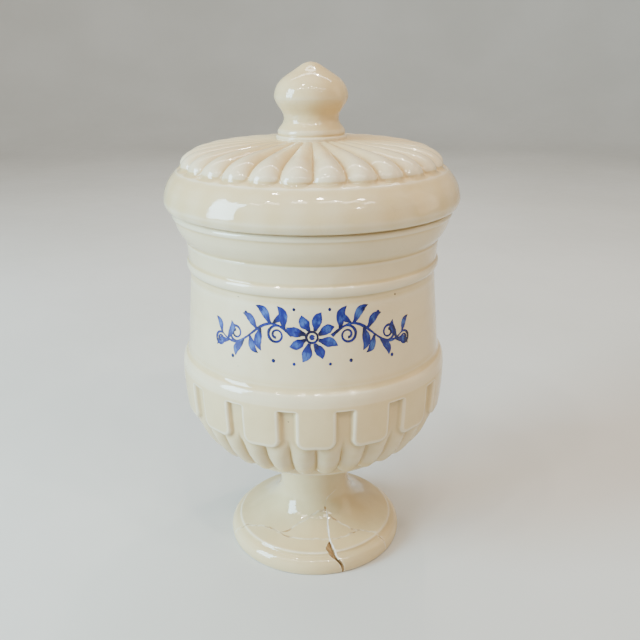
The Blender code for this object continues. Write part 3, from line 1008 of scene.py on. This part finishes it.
GLAZE = glaze_material()
COBALT = cobalt_material()
FRACTURE = fracture_material()
GLUE = glue_material()
CHALK = chalk_material()
GRIME = grime_material()


# ---------------------------------------------------------------- putting it together

def finish_piece(piece, body, materials=(), stands_for=None, sharp_deg=38.0):
    """Materials, smooth shading with sharp edges, the body the piece moves with, and the hiding of the part
    it stands for.
    """
    for material in materials:
        piece.data.materials.append(material)
    piece.data.shade_smooth()
    piece.data.set_sharp_from_angle(angle=math.radians(sharp_deg))
    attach(piece, body)
    if stands_for:
        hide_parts(stands_for)


def build_jar():
    bowl = make_bowl()
    measure_hollowness(bowl)
    finish_piece(bowl, "jar", [GLAZE], "jar_bowl", 70.0)
    lid = make_lid_shell()
    measure_hollowness(lid)
    finish_piece(lid, "lid", [GLAZE], "lid_shell", 70.0)
    knob = make_lid_knob()
    measure_hollowness(knob)
    finish_piece(knob, "lid", [GLAZE], "lid_knob", 70.0)
    foot, shards = make_foot()
    measure_hollowness(foot, 3)
    finish_piece(foot, "jar", (), "pedestal_foot")
    for place, shard in shards.items():
        measure_hollowness(shard, 3)
        finish_piece(shard, "jar", (), "foot_shard_" + place)
    make_garland()
    make_mend_marks()
    make_pinholes()


def build_floor():
    """A wide round floor that sweeps up into a pale wall on every side."""
    flat_radius, bend, wall_top = 1.9, 0.9, 2.6
    quarter = np.linspace(0.0, math.pi / 2, 14)
    sweep = [(0.4, 0.0), (1.0, 0.0)]
    sweep += [(flat_radius + bend * math.sin(a), bend * (1.0 - math.cos(a))) for a in quarter]
    sweep += [(flat_radius + bend, wall_top)]
    azimuth = np.linspace(0.0, 2.0 * math.pi, 96, endpoint=False)
    verts = np.vstack([around(r, azimuth, np.full(96, z)) for r, z in sweep])
    index = np.arange(len(verts)).reshape(len(sweep), 96)
    after = np.roll(index, -1, axis=1)
    faces = np.stack([index[:-1], index[1:], after[1:], after[:-1]], axis=2).reshape(-1, 4)
    floor = mesh_object("studio_floor", verts, faces, [list(index[0])])
    floor.data.materials.append(floor_material())


LIGHT_AIM = (0.0, 0.0, 0.14)
WARM_WHITE = (1.0, 0.92, 0.80)
LAMP_PLACES = ((-0.42, -0.52, 0.95), (-0.12, -0.60, 1.1), (0.06, -0.46, 1.0), (0.26, -0.62, 1.0),
               (0.44, -0.45, 0.9), (0.16, 0.35, 1.1), (-0.30, -0.30, 1.1), (0.55, -0.75, 0.8))
LENS_MM = 42.19
CAMERA_PLACE = (0.0038, -0.3947, 0.2755)
CAMERA_DOWN_DEG = 19.83
CAMERA_ROLL_DEG = -0.34


def add_light(name, place, size, power, colour, aim=LIGHT_AIM):
    """A rectangular soft light that faces a point; sizes are in metres, power in watts."""
    data = bpy.data.lights.new(name, "AREA")
    data.shape = "RECTANGLE"
    data.size, data.size_y = size
    data.energy = power
    data.color = colour
    light = bpy.data.objects.new(name, data)
    bpy.context.scene.collection.objects.link(light)
    light.location = place
    toward = mathutils.Vector(aim) - light.location
    light.rotation_euler = toward.to_track_quat("-Z", "Y").to_euler()


def build_studio():
    """A cool window at the left, a row of panels and small lamps above, and a warm dim room."""
    add_light("window_left", (-1.05, -0.42, 0.55), (0.45, 0.8), 42.0, (0.50, 0.80, 1.0))
    for k in range(6):
        add_light("panel_%d" % k, (-0.85 + 0.34 * k, -0.75, 1.15), (0.24, 0.09), 1.0, WARM_WHITE)
    add_light("room_front", (0.35, -1.6, 1.0), (1.6, 1.0), 1.9, (1.0, 0.60, 0.32))
    add_light("room_right", (1.2, 0.1, 0.6), (0.5, 0.9), 2.4, (1.0, 0.76, 0.50))
    add_light("ceiling", (0.0, 0.2, 1.5), (0.8, 0.8), 2.3, (1.0, 0.92, 0.80))
    for k, place in enumerate(LAMP_PLACES):
        add_light("lamp_%d" % k, place, (0.042, 0.042), 1.2, WARM_WHITE)
    add_light("backdrop_wash", (0.0, 0.45, 1.3), (1.6, 0.4), 22.0, (1.0, 0.96, 0.90), (0.0, 1.6, 0.4))
    world = bpy.data.worlds.new("studio_world")
    world.use_nodes = True
    background = world.node_tree.nodes["Background"]
    background.inputs["Color"].default_value = (0.94, 0.87, 0.78, 1.0)
    background.inputs["Strength"].default_value = 0.15
    bpy.context.scene.world = world


def build_camera():
    """Faces the front of the jar from a little above the lid, and looks down."""
    data = bpy.data.cameras.new("front_camera")
    data.sensor_width = 36.0
    data.lens = LENS_MM
    camera = bpy.data.objects.new("front_camera", data)
    bpy.context.scene.collection.objects.link(camera)
    camera.location = CAMERA_PLACE
    camera.rotation_euler = (math.radians(90.0 - CAMERA_DOWN_DEG), 0.0, 0.0)
    camera.rotation_euler.rotate_axis("Z", math.radians(CAMERA_ROLL_DEG))
    bpy.context.scene.camera = camera


build_jar()
build_floor()
build_studio()
build_camera()
